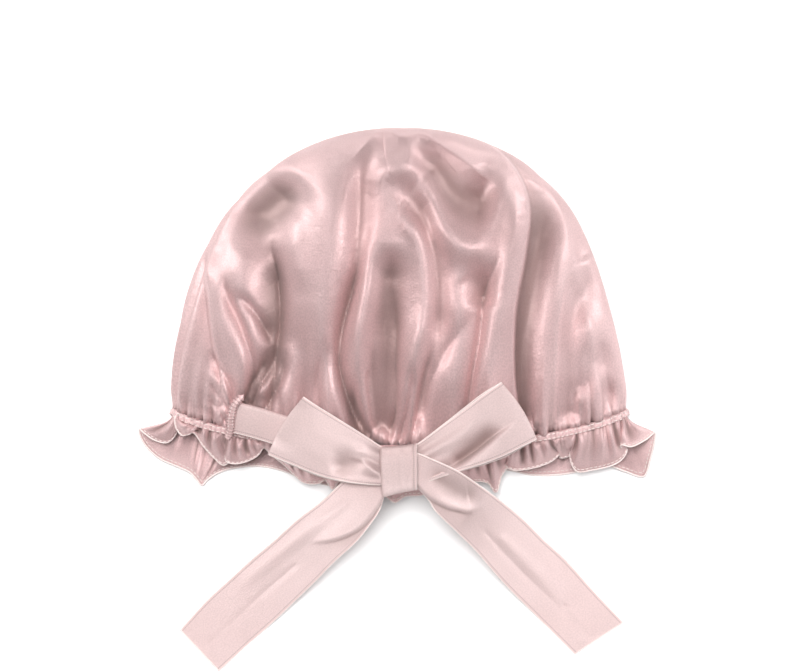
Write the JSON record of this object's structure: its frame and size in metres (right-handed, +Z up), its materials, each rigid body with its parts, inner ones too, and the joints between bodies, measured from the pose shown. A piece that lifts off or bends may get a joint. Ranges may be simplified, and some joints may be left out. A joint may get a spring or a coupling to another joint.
{
  "type": "satin sleep bonnet with drawstring bow",
  "caption": "Gathered satin sleep bonnet with a ruffled edge and a wide drawstring ribbon tied in a front bow, lying on its back.",
  "frame": {"origin": "in the middle of the flat on the crown's back, where the bonnet rests on a table", "axes": "+Z up from the table through the face of the bonnet, +Y towards the top of the crown, -Y out of the mouth, +X to the right seen from above with the crown at the top"},
  "size_m": [0.3088, 0.3117, 0.0871],
  "materials": {
    "satin": "dusty pink satin, glossy face, dull reverse, rolled and overlocked hem",
    "ribbon_satin": "pale pink double-faced satin ribbon with woven edges"
  },
  "bodies": {
    "root": {"crown": "satin", "casing": "satin", "frill": "satin", "ribbon_run_left": "ribbon_satin", "ribbon_run_right": "ribbon_satin", "bow_loop_left": "ribbon_satin", "bow_loop_right": "ribbon_satin", "bow_knot": "ribbon_satin", "tail_left": "ribbon_satin", "tail_right": "ribbon_satin"}
  },
  "joints": []
}
